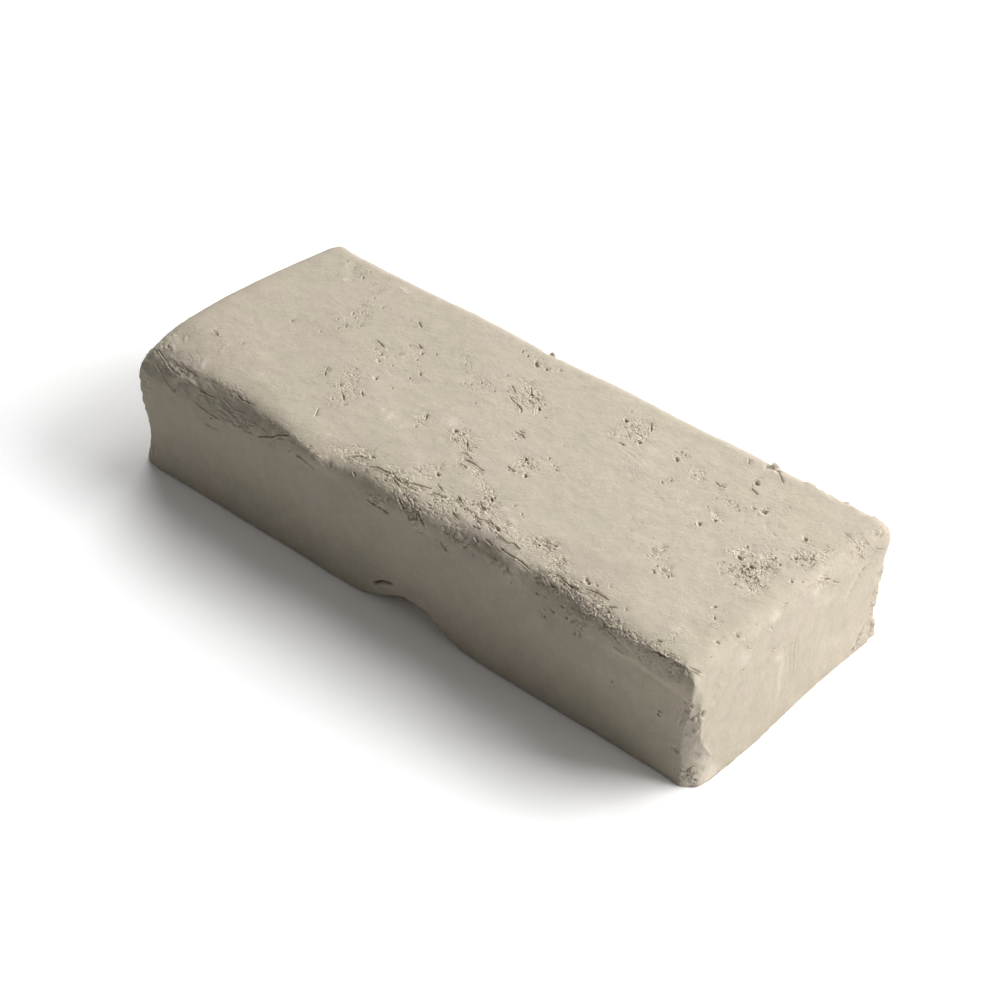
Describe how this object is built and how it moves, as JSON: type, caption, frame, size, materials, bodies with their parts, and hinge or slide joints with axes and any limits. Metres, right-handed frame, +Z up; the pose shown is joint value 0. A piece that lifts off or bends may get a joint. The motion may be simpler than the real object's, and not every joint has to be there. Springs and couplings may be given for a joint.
{
  "type": "clay bar",
  "caption": "Pressed rectangular bar of kneadable clay with wire-cut ends, rolled top edges, a fold in its foot and torn crumbs clinging to its edges.",
  "frame": {"origin": "centre of the bar's box, on the table under its base", "axes": "+X along the bar's length towards its square-cut end, -Y out of the long side with the fold in its foot, +Z up"},
  "size_m": [0.122, 0.046, 0.0245],
  "materials": {
    "clay": "matte"
  },
  "bodies": {
    "root": {"clay_bar": "clay", "edge_flake": "clay", "edge_crumbs": "clay"}
  },
  "joints": []
}
